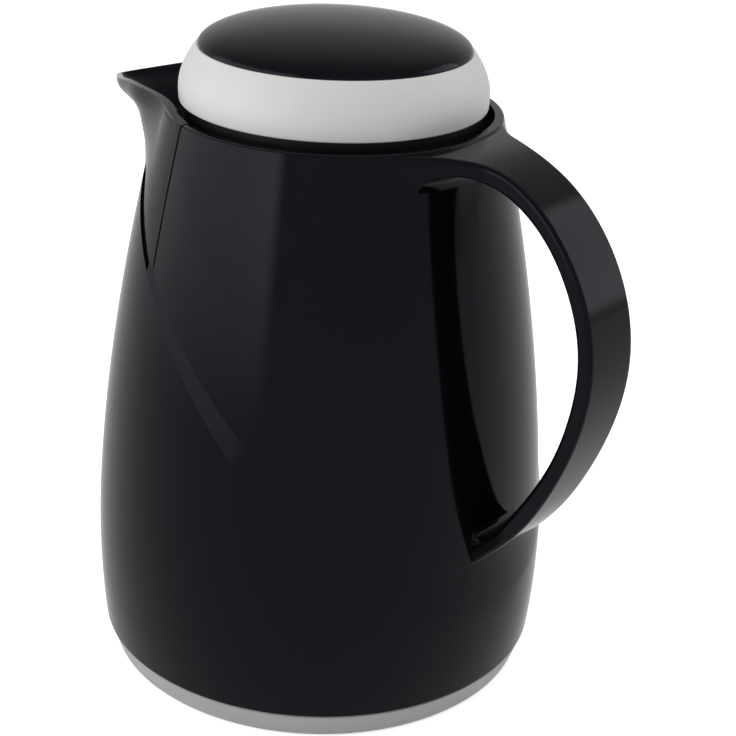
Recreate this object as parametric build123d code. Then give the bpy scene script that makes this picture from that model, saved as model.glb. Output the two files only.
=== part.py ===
from build123d import *
import math
import os

# Vacuum jug with a twist lid. Lengths are in millimetres, +Z is up, and the origin is on the
# jug's axis at the level of the table. The handle points along +X and the beak along -X.

# Body, outside
foot_height = 9.0          # parting line between the foot ring and the casing
foot_radius = 73.4
belly_height = 36.0        # where the body is widest
belly_radius = 74.9
waist_height = 82.5
waist_radius = 72.3
shoulder_height = 145.5
shoulder_radius = 62.5
rim_height = 185.0
rim_radius = 53.6
casing_wall = 2.4
parting_chamfer = 0.5      # on both edges of the parting line

# Wave: the lower half of the body stands proud of the upper half
wave_height = 118.0        # height of its edge over the jug's axis
wave_slope = 1.08          # fall towards the handle, per millimetre
wave_band = 5.9            # height of the hollow band above the edge, over the axis
wave_band_growth = 0.10    # growth of the band towards the handle, per millimetre
panel_inset = 0.9          # the upper half on the handle's side lies back by this much
beak_inset = 0.65          # the beak's side of the upper half lies back by this much

# Beak
beak_reach = 42.9          # how far the tip stands out from the body
beak_thinning = 1.0        # the wall at the tip is thinner by this much
beak_tilt = 0.15           # fall of the beak's lip towards the tip, per millimetre
beak_half_angle = 73.0     # the creases beside the beak, measured from its middle
# Share of the reach at an angle from the beak's middle
beak_plan = ((0.0, 1.0), (6.0, 0.82), (13.0, 0.63), (20.0, 0.44), (28.0, 0.28), (37.0, 0.12), (50.0, 0.0))
# Share of the reach at a depth under the lip's line
beak_side = (
    (59.0, 0.0), (45.0, 0.0), (34.0, 0.01), (26.0, 0.11), (20.0, 0.31),
    (15.0, 0.46), (10.0, 0.62), (6.5, 0.75), (4.5, 0.87), (3.0, 0.95), (-8.0, 0.8),
)
beak_lap = 5.0             # the wave's band ends this far inside the beak's side
# Rim of the beak seen from the side: distance from the axis, height above the body's rim
beak_rim = ((14.0, 0.0), (38.0, 1.5), (60.0, 0.3), (78.0, -3.2), (110.0, -11.5))

# Deck and well under the lid
deck_height = 168.0        # underside of the deck
deck_thickness = 2.6
well_radius = 49.9
rim_round = 0.8

# Handle, a strap
handle_width = 21.8
handle_thickness = 5.1
handle_round = 1.3
handle_root_height = 184.3
handle_crown = (69.4, 183.4)
handle_shoulder = (94.9, 166.4)
handle_reach = 108.3
handle_reach_height = 129.0
handle_knee = (96.4, 86.3)
handle_toe = (70.5, 53.2)
# Upper root widens into the casing: distance from the jug's axis, half width
handle_flare = ((48.0, 24.8), (54.0, 19.0), (60.0, 15.6))
handle_flare_end = 80.0
handle_stations = 8        # stations along the strap at which its thickness is set
crown_round = 9.0          # rounded corner between the casing and the strap, upper root
toe_round = 7.0            # the same at the lower root
root_overlap = 2.0         # how far those corners run into the strap
root_bite = 0.5            # and how far into the casing's side
web_arc = 80.0             # they are turned over this angle, then cut to the strap's width
flare_lead = 6.0           # the strap starts this far inside the casing's rim
root_rise = 0.2            # between the casing's rim and the strap's crown

# Handle fixings: a tongue under the upper root and a screw from inside the lower root
tongue_length = 8.7
tongue_width = 16.0
tongue_height = 2.6
tongue_depth = 1.4
tongue_clearance = 0.1
screw_radius = 1.5
screw_head_radius = 3.0
screw_head_height = 2.0
screw_length = 7.5
screw_clearance = 0.1
screw_spacing = 10.0
screw_seat = 0.05
screw_pad_radius = 3.8     # flat pad in the casing under the screw's head
screw_pad = 0.4
lower_screw_height = 63.0

# Foot cap
foot_table_radius = 70.3   # the ring's radius at the table
foot_skirt = 2.9
table_chamfer = 0.8
floor_height = 3.0
floor_thickness = 2.4
thread_height = 11.0       # of the threaded spigot above the parting line
spigot_wall = 2.8
spigot_clearance = 0.2
thread_wall = 3.3          # casing's wall at the thread

# Glass flask
flask_radius = 61.5
flask_bottom = 16.0
flask_corner = 25.0
flask_shoulder_start = 112.0
flask_neck_start = 146.0
flask_mouth_height = 160.5
outer_glass = 1.7
inner_glass = 1.5
vacuum_gap = 3.8
mouth_radius = 25.4        # bore of the flask's neck
mouth_outer_radius = 31.0
mouth_lip = 1.7            # thickness of the lip that joins the two glasses
tip_radius = 2.2           # sealed-off filling tube
tip_length = 5.0
spacer_height = 14.0
spacer_level = 66.0
spacer_arc = 12.0
spacer_clearance = 0.1

# Flask's seat
cushion_radius = 36.0
cushion_bore = 9.0
cushion_hollow = 5.0
gasket_thickness = 3.0
gasket_inner_radius = 25.7
gasket_outer_radius = 32.4
seal_thickness = 1.5
seal_inner_radius = 36.0

# Neck collar with the lid's track
collar_bore = 25.3
collar_radius = 31.5
collar_top = 180.0
collar_flange_radius = 42.0
deck_clearance = 0.3
track_bottom = 165.0
lug_height = 2.7
lug_reach = 2.3            # how far a lug stands out from the stopper
lug_arc = 14.0
lug_count = 3
lug_clearance = 0.3
slot_side_clearance = 1.5  # degrees, on each side of a lug
twist_range = 90.0
pour_angle = 45.0
window_bottom = 171.2
window_height = 5.0
window_arc = 44.0
outlet_arc = 30.0

# Stopper
stopper_radius = 25.0
stopper_wall = 2.2
stopper_bottom = 159.0
stopper_rest = 0.3         # gap between the stopper's flange and the collar's top
stopper_flange_radius = 30.0
stopper_flange = 2.0
can_radius = 15.0
can_wall = 1.8
foam_clearance = 0.2
inlet_bottom = 152.5
inlet_flange = 1.5
inlet_core_radius = 21.9
inlet_ring = 2.4
inlet_slots = 6
inlet_rib = 3.0
neck_seal_inner = 22.0
neck_seal_clearance = 0.4
neck_seal_gap = 0.2

# Lid
lid_plate = 2.0
skirt_radius = 46.4
skirt_wall = 2.1
skirt_bottom = 178.0
band_bottom = 187.2
band_bottom_radius = 47.8
band_bulge_height = 192.5
band_bulge_radius = 47.9
band_top = 203.9
band_top_radius = 42.7
band_wall = 2.2
band_round = 0.5
spigot_height = 3.8
dome_rise = 9.2
dome_fullness = 0.55       # of the dome's side curve; 0.55 makes an ellipse
dome_wall = 2.2
dome_skirt = 5.0
lid_clearance = 0.2
lid_screw_circle = 19.0
lid_screw_radius = 1.25
lid_screw_head = 2.6
lid_screw_head_height = 1.8
lid_screw_length = 10.0
lid_boss_radius = 3.2
lid_boss_height = 8.0
lid_screw_angle = 45.0     # of the first screw, clear of the outlet

# Places that follow from the sizes above
deck_top = deck_height + deck_thickness
thread_top = foot_height + thread_height
floor_top = floor_height + floor_thickness
flange_top = deck_height - seal_thickness
flange_bottom = flask_mouth_height + gasket_thickness
track_top = track_bottom + lug_height + lug_clearance + lug_clearance
stopper_top = collar_top + stopper_rest
plate_bottom = stopper_top + stopper_flange
plate_top = plate_bottom + lid_plate
lug_radius = stopper_radius + lug_reach
track_radius = lug_radius + lug_clearance
spigot_radius = foot_radius - panel_inset - thread_wall - spigot_clearance


def ring(inner, outer, bottom, top):
    """Flat ring on the jug's axis."""
    solid = Pos(0, 0, bottom) * extrude(Circle(outer), top - bottom)
    if inner > 0:
        hole = Pos(0, 0, bottom - 1) * extrude(Circle(inner), top - bottom + 2)
        solid = solid - hole
    return solid


def sector(inner, outer, bottom, top, middle, width):
    """Piece of a ring, of the given width in degrees round its middle angle."""
    outline = Polyline((inner, bottom), (outer, bottom), (outer, top), (inner, top), close=True)
    turned = Rot(0, 0, middle - width / 2) * (Plane.XZ * make_face(outline))
    axis = Axis.Z
    return revolve(turned, axis, width)


def turned_profile(*points):
    """Solid turned from a closed outline of (radius, height) points."""
    return revolve(Plane.XZ * make_face(Polyline(*points, close=True)), Axis.Z)


# Casing

def side_curve(inset):
    """Side of the body from the parting line to the rim, moved towards the axis."""
    return Spline(
        (foot_radius - inset, foot_height),
        (belly_radius - inset, belly_height),
        (waist_radius - inset, waist_height),
        (shoulder_radius - inset, shoulder_height),
        (rim_radius - inset, rim_height),
    )


def round_body(inset):
    side = side_curve(inset)
    rest = Polyline(side @ 1, (0, rim_height), (0, foot_height), side @ 0)
    return revolve(Plane.XZ * make_face([side, rest]), Axis.Z)


def body_radius(height):
    """Outer radius of the proud body at a height, also a little above the rim."""
    side = side_curve(0)
    if height >= rim_height:
        slope = side % 1
        return rim_radius + (height - rim_height) * slope.X / slope.Y
    low = 0.0
    high = 1.0
    for _ in range(40):
        middle = (low + high) / 2
        if (side @ middle).Y < height:
            low = middle
        else:
            high = middle
    return (side @ low).X


def beak_section(depth, reach, inside):
    """Section of the beak's side of the body, tilted as the lip is, at a depth under the lip.

    The inside starts from the well, so that both are flush at the creases.
    """
    half = []
    for angle, part in (*beak_plan, (beak_half_angle, 0.0)):
        turn = math.radians(angle)
        along = rim_radius
        for _ in range(3):
            height = rim_height - depth + beak_tilt * (rim_radius - along)
            outside = body_radius(height)
            if inside:
                stretch = reach * (beak_reach + beak_thinning) + outside - rim_radius
                radius = well_radius + part * stretch
            else:
                radius = outside - beak_inset + part * reach * beak_reach
            along = radius * math.cos(turn)
        height = rim_height - depth + beak_tilt * (rim_radius - along)
        half.append((-along, -radius * math.sin(turn), height))
    other = [(x, -y, z) for x, y, z in half[1:]]
    side = math.sin(math.radians(beak_half_angle))
    across = math.cos(math.radians(beak_half_angle))
    leave = (-side, across, -beak_tilt * side)
    arrive = (side, across, beak_tilt * side)
    curve = Spline(*reversed(half), *other, tangents=(leave, arrive))
    return make_face([curve, Line(curve @ 1, curve @ 0)])


def beak_body(inside=False):
    """Beak and the round side below it, as one smooth loft."""
    return loft([beak_section(depth, reach, inside) for depth, reach in beak_side])


def below(solid, plane):
    return split(solid, plane, keep=Keep.BOTTOM)


def above(solid, plane):
    return split(solid, plane, keep=Keep.TOP)


def above_beak_rim():
    """Everything over the beak's rim line."""
    line = Spline(*[(-reach, rim_height + rise) for reach, rise in beak_rim])
    top = rim_height + 20
    rest = Polyline(line @ 1, ((line @ 1).X, top), ((line @ 0).X, top), line @ 0)
    width = 4 * rim_radius
    return extrude(Plane.XZ.offset(-width / 2) * make_face([line, rest]), width)


def casing_outside():
    wave = Plane((0, 0, wave_height), z_dir=(wave_slope, 0, 1))
    upper_slope = wave_slope - wave_band_growth
    crest = Plane((0, 0, wave_height + wave_band), z_dir=(upper_slope, 0, 1))
    lower = below(round_body(0), wave)
    foot_edge = lower.edges().filter_by(GeomType.CIRCLE).sort_by(Axis.Z)[0]
    lower = chamfer(foot_edge, parting_chamfer)
    upper = above(round_body(panel_inset), crest)
    rim_edge = upper.edges().filter_by(GeomType.CIRCLE).sort_by(Axis.Z)[-1]
    upper = fillet(rim_edge, rim_round)
    edge = lower.faces().filter_by(wave).sort_by(Axis.Z)[-1]
    root = upper.faces().filter_by(crest).sort_by(Axis.Z)[0]
    band = loft([edge, root], ruled=True)
    crease = rim_radius * math.cos(math.radians(beak_half_angle))
    band = above(band, Plane((-crease - beak_lap, 0, 0), z_dir=(1, 0, 0)))
    beak = beak_body() - above_beak_rim()
    return lower + band + upper + beak


def casing_cavity():
    """Room for the flask, with flat pads for the handle's screws and the foot cap's thread."""
    room = round_body(panel_inset + casing_wall)
    room = above(below(room, Plane.XY.offset(deck_height)), Plane.XY.offset(thread_top))
    for place in screw_places():
        room -= place * along_x(screw_pad_radius, 0, 2 * casing_wall)
    thread = ring(0, spigot_radius + spigot_clearance, foot_height - 1, thread_top)
    return room + thread


def make_casing(outside):
    channel = beak_body(inside=True)
    casing = outside - casing_cavity()
    casing -= below(channel, Plane.XY.offset(deck_height))
    casing -= above(channel, Plane.XY.offset(deck_top))
    casing -= ring(0, well_radius, deck_top, rim_height + 1)
    casing -= ring(0, collar_radius + deck_clearance, deck_height - 1, deck_top + 1)
    casing -= handle_tongue(tongue_clearance)
    for place in screw_places():
        casing -= place * along_x(screw_radius + screw_clearance, -casing_wall, 3 * casing_wall)
    return casing


# Handle

def handle_outer():
    """Outer side of the strap, from inside the casing at the top round to its toe."""
    start = handle_flare[0][0]
    return Spline(
        (start - flare_lead, handle_root_height),
        (start + flare_lead, handle_root_height + root_rise),
        handle_crown,
        handle_shoulder,
        (handle_reach, handle_reach_height),
        handle_knee,
        handle_toe,
        tangents=((1, 0), (-0.72, -0.69)),
    )


def handle_inner(outer):
    """Inner side of the strap, one thickness inside the outer."""
    under = []
    for step in range(handle_stations + 1):
        place = step / handle_stations
        along = outer % place
        under.append(outer @ place + Vector(along.Y, -along.X) * handle_thickness)
    return Spline(*under, tangents=(outer % 0, outer % 1))


def panel_radius(height):
    """Outer radius of the upper half on the handle's side."""
    return body_radius(height) - panel_inset


def root_corner(inner, inside, outside):
    """Place along the strap's inner side where it meets the casing."""
    for _ in range(40):
        middle = (inside + outside) / 2
        point = inner @ middle
        if point.X < panel_radius(point.Y):
            inside = middle
        else:
            outside = middle
    return outside


def root_web(inner, inside, size):
    """Rounded corner between the casing and the strap, turned about the jug's axis."""
    place = root_corner(inner, inside, 0.5)
    away = 1 if inside == 0 else -1
    corner = inner @ place
    end = inner @ (place + away * size / inner.length)
    height = corner.Y - away * size
    start = Vector(panel_radius(height) - root_bite, height)
    along = inner % place
    into_strap = Vector(-along.Y, along.X) * root_overlap
    into_casing = Vector(-casing_wall, 0)
    curve = Bezier(start, corner, end)
    rest = Polyline(end, end + into_strap, corner + into_strap + into_casing, start + into_casing, start)
    section = Rot(0, 0, -web_arc / 2) * (Plane.XZ * make_face([curve, rest]))
    return revolve(section, Axis.Z, web_arc)


def handle_plan():
    half = handle_width / 2
    start, widest = handle_flare[0]
    start -= flare_lead
    edge = Spline(
        (start, widest + flare_lead),
        *handle_flare,
        (handle_flare_end, half),
        tangents=((0.6, -0.8), (1, 0)),
    )
    far = handle_reach + 5
    rest = Polyline(edge @ 1, (far, half), (far, 0), (start, 0), edge @ 0)
    side = make_face([edge, rest])
    return side + mirror(side, Plane.XZ)


def handle_tongue(clearance):
    """Tongue at the upper root, or its pocket in the casing's wall."""
    inner = rim_radius - panel_inset - tongue_depth - clearance
    length = tongue_length + clearance
    height = tongue_height + 2 * clearance
    middle = handle_root_height - handle_thickness / 2
    return Pos(inner + length / 2, 0, middle) * Box(length, tongue_width + 2 * clearance, height)


def screw_places():
    """Handle screws lie along +X, side by side in the lower root."""
    wall = body_radius(lower_screw_height) - panel_inset - casing_wall
    start = math.sqrt(wall**2 - (screw_spacing / 2 + screw_pad_radius) ** 2) - screw_pad
    return [Pos(start, side * screw_spacing / 2, lower_screw_height) for side in (-1, 1)]


def along_x(radius, start, length):
    return Pos(start, 0, 0) * (Rot(0, 90, 0) * extrude(Circle(radius), length))


def make_handle(outside):
    outer = handle_outer()
    inner = handle_inner(outer)
    side = make_face([outer, Line(outer @ 1, inner @ 1), inner, Line(inner @ 0, outer @ 0)])
    width = 3 * handle_flare[0][1]
    strap = extrude(Plane.XZ.offset(-width / 2) * side, width)
    plan = extrude(handle_plan(), rim_height + 20)
    strap &= plan
    curved = strap.edges().filter_by(GeomType.BSPLINE)
    long_edges = curved.filter_by(lambda edge: edge.length > 1.1 * handle_thickness)
    strap = fillet(long_edges, handle_round)
    for inside, size in ((0, crown_round), (1, toe_round)):
        web = root_web(inner, inside, size) & plan
        hollow = web.faces().filter_by(GeomType.REVOLUTION)
        strap += fillet(hollow.edges().filter_by(GeomType.BSPLINE), handle_round)
    tongue = strap & handle_tongue(0)
    handle = strap - outside + tongue
    for place in screw_places():
        handle -= place * along_x(screw_radius + screw_clearance, 0, screw_length + screw_clearance)
    return handle


def make_handle_screws():
    screws = []
    for place in screw_places():
        shank = along_x(screw_radius, 0, screw_length)
        head = along_x(screw_head_radius, -screw_head_height - screw_seat, screw_head_height)
        neck = along_x(screw_radius, -screw_seat, screw_seat)
        screws.append(place * (shank + head + neck))
    return Compound(screws)


# Foot cap

def make_base_cap():
    skirt = foot_table_radius - foot_skirt
    edge = foot_radius - panel_inset / 2
    return turned_profile(
        (0, floor_height),
        (skirt, floor_height),
        (skirt, 0),
        (foot_table_radius - table_chamfer, 0),
        (foot_table_radius, table_chamfer),
        (edge, foot_height - parting_chamfer),
        (edge - parting_chamfer, foot_height),
        (spigot_radius, foot_height),
        (spigot_radius, thread_top),
        (spigot_radius - spigot_wall, thread_top),
        (spigot_radius - spigot_wall, floor_top),
        (0, floor_top),
    )


# Glass flask and its seat

def flask_body(inset, neck_inset, top):
    """Flask turned from its outer line, moved inward by the inset."""
    radius = flask_radius - inset
    neck = mouth_outer_radius - neck_inset
    corner = flask_corner - inset
    side = FilletPolyline(
        (0, flask_bottom + inset),
        (radius, flask_bottom + inset),
        (radius, flask_shoulder_start - inset / 2),
        (neck, flask_neck_start - inset / 2),
        (neck, top),
        radius=[corner, corner, corner / 2],
    )
    rest = Polyline(side @ 1, (0, top), side @ 0)
    return revolve(Plane.XZ * make_face([side, rest]), Axis.Z)


def make_liner_outer():
    top = flask_mouth_height - mouth_lip
    tip = Pos(0, 0, flask_bottom - tip_length) * extrude(Circle(tip_radius), tip_length + 1)
    return flask_body(0, 0, top) + tip - flask_body(outer_glass, outer_glass, top)


def make_liner_inner():
    inset = outer_glass + vacuum_gap
    outer_neck = mouth_outer_radius - mouth_radius - inner_glass
    lip_bottom = flask_mouth_height - mouth_lip
    glass = flask_body(inset, outer_neck, flask_mouth_height)
    glass += ring(0, mouth_outer_radius, lip_bottom, flask_mouth_height)
    room = flask_body(inset + inner_glass, outer_neck + inner_glass, flask_mouth_height)
    return glass - room


def make_liner_spacers():
    outer = flask_radius - outer_glass - spacer_clearance
    inner = flask_radius - outer_glass - vacuum_gap + spacer_clearance
    top = spacer_level + spacer_height
    pads = [sector(inner, outer, spacer_level, top, angle, spacer_arc) for angle in (30, 150, 270)]
    return Compound(pads)


def make_liner_cushion():
    cushion = ring(cushion_bore, cushion_radius, floor_top, flask_bottom)
    inner = cushion_bore + cushion_hollow
    outer = cushion_radius - cushion_hollow
    return cushion - ring(inner, outer, floor_top - 1, floor_top + cushion_hollow)


def make_neck_gasket():
    return ring(gasket_inner_radius, gasket_outer_radius, flask_mouth_height, flange_bottom)


def make_collar_seal():
    return ring(seal_inner_radius, collar_flange_radius - seal_thickness, flange_top, deck_height)


# Collar with the bayonet track

def lug_angles():
    return [index * 360 / lug_count for index in range(lug_count)]


def make_neck_collar():
    collar = ring(collar_bore, collar_flange_radius, flange_bottom, flange_top)
    collar += ring(collar_bore, collar_radius, flange_bottom, collar_top)
    slot_arc = lug_arc + 2 * slot_side_clearance
    inner = collar_bore - 1
    for angle in lug_angles():
        middle = angle - twist_range / 2
        collar -= sector(inner, track_radius, track_bottom, collar_top + 1, angle, slot_arc)
        collar -= sector(inner, track_radius, track_bottom, track_top, middle, twist_range + slot_arc)
    window_top = window_bottom + window_height
    return collar - sector(inner, collar_radius + 1, window_bottom, window_top, 180, window_arc)


# Stopper

def lid_screw_places():
    return [Rot(0, 0, lid_screw_angle + angle) * Pos(lid_screw_circle, 0, 0) for angle in lug_angles()]


def make_stopper_body():
    body = ring(stopper_radius - stopper_wall, stopper_radius, stopper_bottom, stopper_top)
    body += ring(0, stopper_flange_radius, stopper_top, plate_bottom)
    body += ring(can_radius - can_wall, can_radius, stopper_bottom, stopper_top)
    lug_bottom = track_bottom + lug_clearance
    for angle in lug_angles():
        body += sector(stopper_radius - 1, lug_radius, lug_bottom, lug_bottom + lug_height, angle, lug_arc)
    outlet_bottom = window_bottom + lug_clearance
    outlet_top = window_bottom + window_height - lug_clearance
    inner = stopper_radius - stopper_wall - 1
    body -= sector(inner, stopper_radius + 1, outlet_bottom, outlet_top, 180 + pour_angle, outlet_arc)
    boss_bottom = stopper_top - lid_boss_height
    hole_bottom = plate_top - lid_screw_length - screw_clearance
    for place in lid_screw_places():
        body += place * ring(0, lid_boss_radius, boss_bottom, stopper_top)
    for place in lid_screw_places():
        body -= place * ring(0, lid_screw_radius + screw_clearance, hole_bottom, plate_bottom + 1)
    return body


def make_stopper_foam():
    radius = can_radius - can_wall - foam_clearance
    return ring(0, radius, stopper_bottom + foam_clearance, stopper_top - foam_clearance)


def make_stopper_foot():
    ledge = inlet_bottom + inlet_flange
    rim_inner = inlet_core_radius - inlet_ring
    foot = ring(0, can_radius, inlet_bottom, stopper_bottom)
    foot += ring(rim_inner, inlet_core_radius, inlet_bottom, stopper_bottom)
    foot += ring(rim_inner, stopper_radius - stopper_wall / 2, inlet_bottom, ledge)
    for index in range(inlet_slots):
        length = rim_inner - can_radius + 1
        middle = can_radius - 0.5 + length / 2
        height = stopper_bottom - inlet_bottom
        rib = Pos(middle, 0, inlet_bottom + height / 2) * Box(length, inlet_rib, height)
        foot += Rot(0, 0, index * 360 / inlet_slots) * rib
    return foot


def make_neck_seal():
    bottom = inlet_bottom + inlet_flange + neck_seal_gap
    top = stopper_bottom - neck_seal_gap
    return ring(neck_seal_inner, mouth_radius - neck_seal_clearance, bottom, top)


def make_stopper_screws():
    screws = []
    for place in lid_screw_places():
        shank = ring(0, lid_screw_radius, plate_top - lid_screw_length, plate_top)
        head = ring(0, lid_screw_head, plate_top, plate_top + lid_screw_head_height)
        screws.append(place * (shank + head))
    return Compound(screws)


# Lid

def make_lid_base():
    spigot = band_bottom_radius - band_wall - lid_clearance
    base = ring(0, skirt_radius, plate_bottom, plate_top)
    base += ring(skirt_radius - skirt_wall, skirt_radius, skirt_bottom, band_bottom)
    base += ring(spigot - skirt_wall, spigot, plate_bottom, band_bottom + spigot_height)
    for place in lid_screw_places():
        base -= place * ring(0, lid_screw_radius + screw_clearance, plate_bottom - 1, plate_top + 1)
    return base


def band_line(inset):
    return Spline(
        (band_bottom_radius - inset, band_bottom),
        (band_bulge_radius - inset, band_bulge_height),
        (band_top_radius - inset, band_top),
        tangents=((0.1, 1), (-0.75, 1)),
    )


def make_lid_band():
    outer = band_line(0)
    inner = band_line(band_wall)
    section = make_face([outer, Line(outer @ 1, inner @ 1), inner, Line(inner @ 0, outer @ 0)])
    band = revolve(Plane.XZ * section, Axis.Z)
    rims = band.edges().filter_by(GeomType.CIRCLE).sort_by(SortBy.RADIUS)
    lower = [edge for edge in rims if edge.center().Z < band_bulge_height]
    upper = [edge for edge in rims if edge.center().Z > band_bulge_height]
    return fillet([lower[-1], upper[-1]], band_round)


def dome_section(inset):
    radius = band_top_radius - band_round - inset
    top = band_top + dome_rise - inset
    shoulder = band_top + dome_fullness * (dome_rise - inset)
    arc = Bezier((radius, band_top), (radius, shoulder), (dome_fullness * radius, top), (0, top))
    return make_face([arc, Polyline(arc @ 1, (0, band_top), arc @ 0)])


def make_lid_dome():
    outer = band_top_radius - band_wall - lid_clearance
    inner = outer - dome_wall
    bottom = band_top - dome_skirt
    top = band_top + dome_wall
    skirt = make_face(Polyline((inner, bottom), (outer, bottom), (outer, top), (inner, top), close=True))
    section = dome_section(0) - dome_section(dome_wall) + skirt
    return revolve(Plane.XZ * section, Axis.Z)


def main():
    os.makedirs("parts", exist_ok=True)
    outside = casing_outside()
    parts = {
        "casing": make_casing(outside),
        "handle": make_handle(outside),
        "handle_screws": make_handle_screws(),
        "base_cap": make_base_cap(),
        "liner_outer": make_liner_outer(),
        "liner_inner": make_liner_inner(),
        "liner_spacers": make_liner_spacers(),
        "liner_cushion": make_liner_cushion(),
        "neck_gasket": make_neck_gasket(),
        "collar_seal": make_collar_seal(),
        "neck_collar": make_neck_collar(),
        "neck_seal": make_neck_seal(),
        "stopper_body": make_stopper_body(),
        "stopper_foam": make_stopper_foam(),
        "stopper_foot": make_stopper_foot(),
        "stopper_screws": make_stopper_screws(),
        "lid_base": make_lid_base(),
        "lid_band": make_lid_band(),
        "lid_dome": make_lid_dome(),
    }
    for name, solid in parts.items():
        export_step(solid, f"parts/{name}.step")


main()
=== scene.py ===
import math

import bpy
from mathutils import Matrix, Vector


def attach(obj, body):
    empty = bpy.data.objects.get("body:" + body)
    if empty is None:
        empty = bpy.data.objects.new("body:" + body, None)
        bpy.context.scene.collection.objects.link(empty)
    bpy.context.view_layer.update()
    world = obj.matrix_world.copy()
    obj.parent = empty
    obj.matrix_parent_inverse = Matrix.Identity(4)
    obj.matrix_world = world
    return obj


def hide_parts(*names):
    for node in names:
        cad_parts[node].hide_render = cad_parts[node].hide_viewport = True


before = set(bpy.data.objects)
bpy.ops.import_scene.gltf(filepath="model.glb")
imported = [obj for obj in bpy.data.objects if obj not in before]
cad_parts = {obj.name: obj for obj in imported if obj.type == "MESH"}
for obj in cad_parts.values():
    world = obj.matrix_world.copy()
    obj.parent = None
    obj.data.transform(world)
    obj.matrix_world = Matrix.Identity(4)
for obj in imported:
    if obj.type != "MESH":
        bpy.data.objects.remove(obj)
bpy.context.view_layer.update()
MM = 0.001

# View. Angles in radians unless a comment says degrees.
camera_turn = 41.0              # degrees round the jug, from its side towards the handle
camera_eye = (0, -0.51003, 0.32460)     # before that turn
camera_pitch = 0.42035
camera_yaw = 0.0277
camera_roll = 0.0441
camera_lens = 82.5              # millimetres, on a sensor of the next width
camera_sensor = 36
camera_nearest = 0.01

# Surroundings. A brightness of 1 is white.
room_light = 0.45               # soft light from all round
room_colour = "f6f4f0"
backdrop_glow = 0.55            # the pale backdrop as gloss and metal show it
room_glow = 0.68                # the side where the photographer stands
room_turn = -15                 # its middle, in degrees from the camera towards the picture's left
room_edge = (0.6, 0.82)         # cosines off its middle at which it ends and is full
ceiling_share = 0.78            # brightness overhead, as a share of those two
ceiling_edge = (0.25, 0.5)      # upward parts of a direction at which that starts and is full

floor_width = 6
floor_gap = 0.2 * MM            # below the foot, so that the two faces don't share a plane
floor_colour = "f2f2f0"
floor_glow = 0.6                # lifts the lit paper to white for the eye
floor_mirrored = 0.72           # the paper as gloss and metal show it

# Lights. Turns are in degrees from the camera towards the picture's left.
plain_edges = (0.15, 0.15)      # shares of a panel's width and height over which it fades

window_turn = 72
window_distance = 0.45
window_height = 0.28
window_size = (0.9, 0.6)
window_glow = 2.2
window_edges = (0.12, 0.45)
window_far_end = 0.35           # brightness of one end, as a share of the other's

fill_turn = -100
fill_distance = 1.0
fill_height = 0.5
fill_aim = 0.1                  # height that it points at
fill_size = (0.8, 0.8)
fill_glow = 1.1

ceiling_height = 1.3
ceiling_size = (2.0, 2.0)
ceiling_glow = 1.05

# Casing
casing_weld = 0.001 * MM        # points of the CAD's loose triangles nearer than this are joined
casing_seam = 0.01 * MM         # the same for points of the two halves
casing_sharp = 6                # degrees at which the shading turns sharp, so that the wave has its edge


def linear(hex_colour):
    """Linear colour of an sRGB hex value."""
    channels = []
    for start in (0, 2, 4):
        value = int(hex_colour[start:start + 2], 16) / 255
        channels.append(value / 12.92 if value <= 0.04045 else ((value + 0.055) / 1.055) ** 2.4)
    return (*channels, 1.0)


plain_white = linear("ffffff")


def per_size(size):
    """Scale of a pattern whose features are that many millimetres across."""
    return 1 / (size * MM)


def add_node(tree, kind, settings=None, inputs=None):
    """Adds a node, sets its properties and feeds its inputs from values or sockets."""
    node = tree.nodes.new(kind)
    for name, value in (settings or {}).items():
        setattr(node, name, value)
    for name, value in (inputs or {}).items():
        if isinstance(value, bpy.types.NodeSocket):
            tree.links.new(value, node.inputs[name])
        else:
            node.inputs[name].default_value = value
    return node


def ramp(tree, value, span, to, smooth=False):
    """A value carried from one range to another, held at its ends."""
    kind = "SMOOTHSTEP" if smooth else "LINEAR"
    node = add_node(tree, "ShaderNodeMapRange", {"interpolation_type": kind}, {
        "Value": value, "From Min": span[0], "From Max": span[1], "To Min": to[0], "To Max": to[1]})
    return node.outputs["Result"]


# Camera

def place_camera():
    """The photograph's view: from the handle's side, 24 degrees down, a long lens, slightly rolled."""
    pitch, yaw, roll = camera_pitch, camera_yaw, camera_roll
    ahead = Vector((math.sin(yaw) * math.cos(pitch), math.cos(yaw) * math.cos(pitch), -math.sin(pitch)))
    side = ahead.cross(Vector((0, 0, 1))).normalized()
    above = side.cross(ahead)
    right = math.cos(roll) * side + math.sin(roll) * above
    up = -math.sin(roll) * side + math.cos(roll) * above
    turn = Matrix.Rotation(math.radians(camera_turn), 3, "Z")
    axes = Matrix((turn @ right, turn @ up, turn @ -ahead)).transposed().to_4x4()
    data = bpy.data.cameras.new("camera")
    data.sensor_width = camera_sensor
    data.lens = camera_lens
    data.clip_start = camera_nearest
    camera = bpy.data.objects.new("camera", data)
    bpy.context.scene.collection.objects.link(camera)
    camera.matrix_world = Matrix.Translation(turn @ Vector(camera_eye)) @ axes
    bpy.context.scene.camera = camera


# Studio

def towards(angle):
    """Level direction from the jug, that many degrees from the camera towards the picture's left."""
    bearing = math.radians(camera_turn - 90 - angle)
    return Vector((math.cos(bearing), math.sin(bearing), 0))


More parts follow.
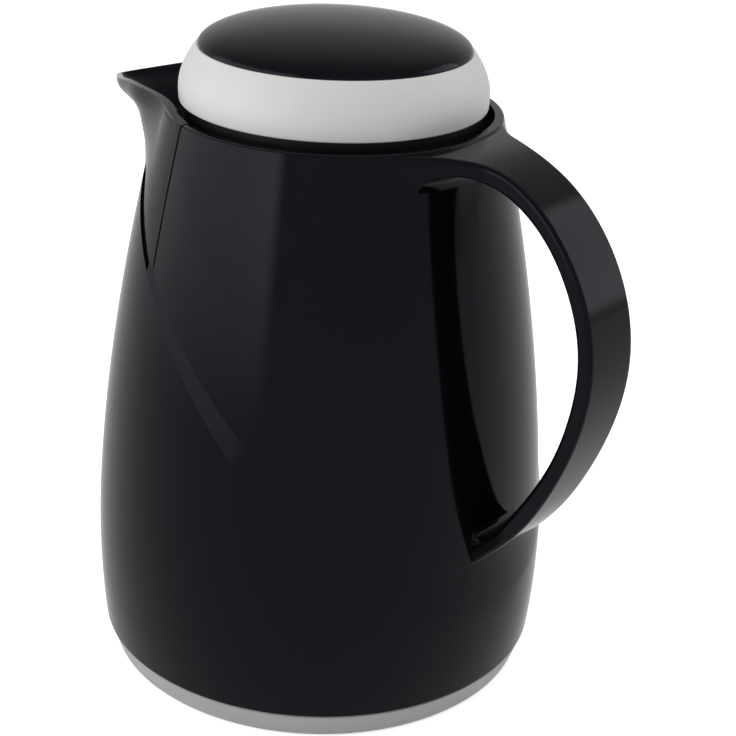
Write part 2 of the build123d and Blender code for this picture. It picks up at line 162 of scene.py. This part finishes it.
def soft_light(name, place, target, size, glow, edges=plain_edges, far_end=1.0):
    """A diffuser panel of this brightness, which fades over its edges and towards one end."""
    width, height = size
    data = bpy.data.lights.new(name, "AREA")
    data.shape = "RECTANGLE"
    data.size = width
    data.size_y = height
    data.energy = glow * math.pi * width * height
    data.use_nodes = True
    tree = data.node_tree
    tree.nodes.clear()
    place_on = add_node(tree, "ShaderNodeNewGeometry").outputs["Parametric"]
    centred = add_node(tree, "ShaderNodeVectorMath", {"operation": "SUBTRACT"}, {
        0: place_on, 1: (0.5, 0.5, 0)})
    off = add_node(tree, "ShaderNodeVectorMath", {"operation": "ABSOLUTE"}, {0: centred.outputs[0]})
    parts = add_node(tree, "ShaderNodeSeparateXYZ", inputs={0: off.outputs[0]})
    across = ramp(tree, parts.outputs["X"], (0.5 - edges[0], 0.5), (1.0, 0.0), smooth=True)
    along = ramp(tree, parts.outputs["Y"], (0.5 - edges[1], 0.5), (1.0, 0.0), smooth=True)
    both = add_node(tree, "ShaderNodeMath", {"operation": "MULTIPLY"}, {0: across, 1: along})
    ends = add_node(tree, "ShaderNodeSeparateXYZ", inputs={0: place_on}).outputs["X"]
    fade = ramp(tree, ends, (0.0, 1.0), (far_end, 1.0))
    level = add_node(tree, "ShaderNodeMath", {"operation": "MULTIPLY"}, {0: both.outputs[0], 1: fade})
    shine = add_node(tree, "ShaderNodeEmission", inputs={"Strength": level.outputs[0]})
    add_node(tree, "ShaderNodeOutputLight", inputs={"Surface": shine.outputs[0]})
    light = bpy.data.objects.new(name, data)
    bpy.context.scene.collection.objects.link(light)
    light.location = place
    light.rotation_euler = (Vector(target) - Vector(place)).to_track_quat("-Z", "Y").to_euler()
    light.visible_camera = False
    return light


def lights():
    """A large window on the left, a fill on the right and a ceiling that gives light but no reflection."""
    window_middle = Vector((0, 0, window_height))
    soft_light("window", window_distance * towards(window_turn) + window_middle, window_middle,
               window_size, window_glow, window_edges, window_far_end)
    soft_light("fill", fill_distance * towards(fill_turn) + Vector((0, 0, fill_height)), (0, 0, fill_aim),
               fill_size, fill_glow)
    ceiling = soft_light("ceiling", (0, 0, ceiling_height), (0, 0, 0), ceiling_size, ceiling_glow)
    ceiling.visible_glossy = False


def ray_kinds(tree):
    """Whether a ray is the eye's own, and whether it comes off gloss or metal or through glass."""
    path = add_node(tree, "ShaderNodeLightPath")
    either = add_node(tree, "ShaderNodeMath", {"operation": "MAXIMUM"},
                      {0: path.outputs["Is Glossy Ray"], 1: path.outputs["Is Transmission Ray"]})
    return path.outputs["Is Camera Ray"], either.outputs[0]


def studio_world():
    """White to the eye. Gloss and metal show it as a pale backdrop, brighter on the photographer's side
    and a little darker overhead."""
    world = bpy.data.worlds.new("studio")
    bpy.context.scene.world = world
    world.use_nodes = True
    tree = world.node_tree
    tree.nodes.clear()
    seen, reflected = ray_kinds(tree)
    way = add_node(tree, "ShaderNodeTexCoord").outputs["Generated"]
    facing = add_node(tree, "ShaderNodeVectorMath", {"operation": "DOT_PRODUCT"}, {
        0: way, 1: towards(room_turn)})
    height = add_node(tree, "ShaderNodeSeparateXYZ", inputs={0: way}).outputs["Z"]
    round_about = ramp(tree, facing.outputs["Value"], room_edge, (backdrop_glow, room_glow), smooth=True)
    above = ramp(tree, height, ceiling_edge, (1.0, ceiling_share), smooth=True)
    shade = add_node(tree, "ShaderNodeMath", {"operation": "MULTIPLY"}, {0: round_about, 1: above})
    dim = add_node(tree, "ShaderNodeBackground", inputs={
        "Color": linear(room_colour), "Strength": room_light})
    room = add_node(tree, "ShaderNodeBackground", inputs={
        "Strength": shade.outputs[0], "Color": plain_white})
    white = add_node(tree, "ShaderNodeBackground", inputs={"Color": plain_white, "Strength": 1.0})
    around = add_node(tree, "ShaderNodeMixShader", inputs={
        0: reflected, 1: dim.outputs[0], 2: room.outputs[0]})
    mix = add_node(tree, "ShaderNodeMixShader", inputs={0: seen, 1: around.outputs[0], 2: white.outputs[0]})
    add_node(tree, "ShaderNodeOutputWorld", inputs={"Surface": mix.outputs[0]})


def pale_floor():
    """White paper. It keeps the jug's shadow, and its own light is only for the eye and for reflections."""
    bpy.ops.mesh.primitive_plane_add(size=floor_width, location=(0, 0, -floor_gap))
    floor = bpy.context.object
    floor.name = "floor"
    material, tree = new_material("white_paper_sweep")
    seen, reflected = ray_kinds(tree)
    lift = add_node(tree, "ShaderNodeMath", {"operation": "MULTIPLY"}, {0: seen, 1: floor_glow})
    paper = add_node(tree, "ShaderNodeBsdfDiffuse", inputs={"Color": linear(floor_colour)})
    glow = add_node(tree, "ShaderNodeEmission", inputs={"Color": plain_white, "Strength": lift.outputs[0]})
    lit = add_node(tree, "ShaderNodeAddShader", inputs={0: paper.outputs[0], 1: glow.outputs[0]})
    plain = add_node(tree, "ShaderNodeEmission", inputs={"Color": plain_white, "Strength": floor_mirrored})
    mix = add_node(tree, "ShaderNodeMixShader", inputs={
        0: reflected, 1: lit.outputs[0], 2: plain.outputs[0]})
    add_node(tree, "ShaderNodeOutputMaterial", inputs={"Surface": mix.outputs[0]})
    floor.data.materials.append(material)


# Materials

def new_material(name):
    """An empty material and its node tree."""
    material = bpy.data.materials.new(name)
    material.use_nodes = True
    material.node_tree.nodes.clear()
    return material, material.node_tree


def noise(tree, size, detail=2.0, squeeze=None):
    """Noise whose features are that many millimetres across, pressed flat along an axis by squeeze."""
    place = add_node(tree, "ShaderNodeTexCoord").outputs["Object"]
    if squeeze:
        place = add_node(tree, "ShaderNodeMapping", inputs={"Vector": place, "Scale": squeeze}).outputs[0]
    return add_node(tree, "ShaderNodeTexNoise", inputs={
        "Vector": place, "Scale": per_size(size), "Detail": detail}).outputs[0]


def bump(tree, height, strength, depth):
    """Raised and sunk by about that many millimetres."""
    return add_node(tree, "ShaderNodeBump", inputs={
        "Height": height, "Strength": strength, "Distance": depth * MM}).outputs[0]


def blend_colour(tree, amount, first, second):
    """Mixes two hex colours. The node's sockets 6 and 7 take them, and its output 2 gives the mixture."""
    mix = add_node(tree, "ShaderNodeMix", {"data_type": "RGBA"}, {
        "Factor": amount, 6: linear(first), 7: linear(second)})
    return mix.outputs[2]


def finish_material(tree, inputs):
    """Feeds the shader and shows it."""
    shader = add_node(tree, "ShaderNodeBsdfPrincipled", inputs=inputs)
    add_node(tree, "ShaderNodeOutputMaterial", inputs={"Surface": shader.outputs[0]})


def gloss_black():
    """ABS moulded in a polished tool: near black, clear reflections that swim a little over the sink of
    the walls, a faint violet in them, and a haze of wiping that softens them in places."""
    material, tree = new_material("abs_gloss_black")
    sink = bump(tree, noise(tree, size=26, detail=1.0), strength=0.05, depth=0.4)
    haze = ramp(tree, noise(tree, size=14, detail=3.0), span=(0.35, 0.7), to=(0.08, 0.13))
    tone = blend_colour(tree, noise(tree, size=9), "070709", "09090c")
    finish_material(tree, {
        "Base Color": tone, "Roughness": haze, "IOR": 1.5, "Specular IOR Level": 0.16,
        "Specular Tint": linear("e6e4ff"), "Normal": sink})
    return material


def spark_grained(name, light, dark, roughness, grain, gloss=0.5):
    """ABS or polypropylene moulded in a spark-eroded tool: an even satin with a fine pitted grain, which
    is drawn coarser than the real twentieth of a millimetre so that it shows."""
    material, tree = new_material(name)
    pits = noise(tree, size=grain)
    mottle = noise(tree, size=30 * grain)
    finish_material(tree, {
        "Base Color": blend_colour(tree, mottle, dark, light),
        "Roughness": ramp(tree, pits, span=(0.3, 0.7), to=(roughness - 0.06, roughness + 0.06)),
        "IOR": 1.5, "Specular IOR Level": gloss, "Normal": bump(tree, pits, strength=0.1, depth=0.05)})
    return material


def silvered_glass():
    """Blown glass, silvered behind: a bright mirror under a clear skin, warped in slow rings where it
    was turned in the flame, with thin patches in the silver."""
    material, tree = new_material("silvered_blown_glass")
    warp = bump(tree, noise(tree, size=24, detail=1.0, squeeze=(1, 1, 3)), strength=0.12, depth=1.0)
    thin = ramp(tree, noise(tree, size=6, detail=4.0), span=(0.55, 0.8), to=(0.0, 1.0))
    finish_material(tree, {
        "Base Color": blend_colour(tree, thin, "e9e8e2", "cfcdc4"), "Metallic": 1.0, "Roughness": 0.05,
        "Coat Weight": 1.0, "Coat Roughness": 0.02, "Coat IOR": 1.5, "Normal": warp})
    return material


def pressed_fibre():
    """Ceramic fibre pressed to pads: chalky off-white with matted short fibres."""
    material, tree = new_material("pressed_ceramic_fibre")
    mat = noise(tree, size=0.8, detail=4.0, squeeze=(1, 1, 5))
    finish_material(tree, {
        "Base Color": blend_colour(tree, mat, "c9c4b4", "e6e2d6"), "Roughness": 0.95,
        "IOR": 1.45, "Normal": bump(tree, mat, strength=0.5, depth=0.3)})
    return material


def moulded_rubber():
    """EPDM moulded to shape: dull dark grey with a dusty bloom."""
    material, tree = new_material("epdm_rubber_moulded")
    bloom = noise(tree, size=4, detail=3.0)
    finish_material(tree, {
        "Base Color": blend_colour(tree, bloom, "1d1d1e", "2c2c2e"),
        "Roughness": ramp(tree, bloom, span=(0.3, 0.7), to=(0.6, 0.8)), "IOR": 1.52,
        "Normal": bump(tree, noise(tree, size=0.5), strength=0.15, depth=0.05)})
    return material


def moulded_silicone():
    """Clear silicone, moulded: milky, lets a little light through, and gathers fine lint."""
    material, tree = new_material("silicone_moulded_clear")
    lint = ramp(tree, noise(tree, size=1.2, detail=4.0), span=(0.62, 0.72), to=(0.0, 1.0))
    finish_material(tree, {
        "Base Color": blend_colour(tree, lint, "dcdbd4", "f1f0ea"), "Roughness": 0.42, "IOR": 1.41,
        "Subsurface Weight": 0.35, "Subsurface Radius": (0.9, 0.9, 0.85), "Subsurface Scale": 2 * MM,
        "Normal": bump(tree, noise(tree, size=0.9), strength=0.1, depth=0.05)})
    return material


def bead_foam():
    """Expanded polystyrene, moulded: packed white beads with darker joints between them."""
    material, tree = new_material("eps_bead_foam")
    bead = 2.4
    place = add_node(tree, "ShaderNodeTexCoord").outputs["Object"]
    beads = add_node(tree, "ShaderNodeTexVoronoi", {"feature": "DISTANCE_TO_EDGE"}, {
        "Vector": place, "Scale": per_size(bead)}).outputs["Distance"]
    round_bead = ramp(tree, beads, span=(0.0, 0.25), to=(0.0, 1.0), smooth=True)
    finish_material(tree, {
        "Base Color": blend_colour(tree, round_bead, "cfccc2", "f3f1ea"), "Roughness": 0.8, "IOR": 1.45,
        "Normal": bump(tree, round_bead, strength=0.6, depth=0.3)})
    return material


def zinc_steel():
    """Steel screws, turned and zinc plated: silver grey with a thin blue and straw tint."""
    material, tree = new_material("steel_zinc_plated")
    tint = noise(tree, size=1.5, detail=3.0)
    marks = noise(tree, size=0.4, squeeze=(1, 1, 8))
    finish_material(tree, {
        "Base Color": blend_colour(tree, tint, "b4b9c2", "c6c2b4"), "Metallic": 1.0,
        "Roughness": ramp(tree, marks, span=(0.3, 0.7), to=(0.22, 0.4)),
        "Normal": bump(tree, marks, strength=0.15, depth=0.05)})
    return material


# Jug

def dress(names, material):
    """Gives CAD nodes their finish."""
    for name in names:
        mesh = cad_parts[name].data
        mesh.materials.clear()
        mesh.materials.append(material)


def even_casing():
    """The dressed casing's sound half, towards the camera, and its reflection. The CAD's other half has
    a small lump beside the beak that the real one lacks."""
    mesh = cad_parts["casing"].data.copy()
    casing = bpy.data.objects.new("casing_even", mesh)
    bpy.context.scene.collection.objects.link(casing)
    bpy.ops.object.select_all(action="DESELECT")
    casing.select_set(True)
    bpy.context.view_layer.objects.active = casing
    bpy.ops.mesh.customdata_custom_splitnormals_clear()
    bpy.ops.object.mode_set(mode="EDIT")
    bpy.ops.mesh.select_all(action="SELECT")
    bpy.ops.mesh.remove_doubles(threshold=casing_weld)
    bpy.ops.mesh.bisect(plane_co=(0, 0, 0), plane_no=(0, 1, 0), clear_outer=True)
    bpy.ops.object.mode_set(mode="OBJECT")
    reflection = casing.modifiers.new("reflection", "MIRROR")
    reflection.use_axis = (False, True, False)
    reflection.merge_threshold = casing_seam
    bpy.ops.object.modifier_apply(modifier=reflection.name)
    bpy.ops.object.mode_set(mode="EDIT")
    bpy.ops.mesh.select_all(action="SELECT")
    bpy.ops.mesh.remove_doubles(threshold=casing_weld)
    bpy.ops.mesh.normals_make_consistent(inside=False)
    bpy.ops.object.mode_set(mode="OBJECT")
    bpy.ops.object.shade_smooth_by_angle(angle=math.radians(casing_sharp))
    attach(casing, "jug")
    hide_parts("casing")


bpy.context.scene.view_settings.view_transform = "Standard"
place_camera()
studio_world()
pale_floor()
lights()

dress(["casing", "handle", "lid_dome"], gloss_black())
even_casing()
dress(["lid_band"], spark_grained("abs_satin_pale_grey", "d6d8d7", "d1d3d2", roughness=0.42, grain=0.3))
dress(["base_cap"], spark_grained("abs_satin_foot_grey", "b2b4b4", "adafaf", roughness=0.45, grain=0.3))
dress(["lid_base", "neck_collar", "stopper_body", "stopper_foot"],
      spark_grained("pp_satin_black", "161618", "111113", roughness=0.4, grain=0.35, gloss=0.2))
dress(["liner_outer", "liner_inner"], silvered_glass())
dress(["liner_spacers"], pressed_fibre())
dress(["liner_cushion", "neck_gasket", "collar_seal"], moulded_rubber())
dress(["neck_seal"], moulded_silicone())
dress(["stopper_foam"], bead_foam())
dress(["handle_screws", "stopper_screws"], zinc_steel())
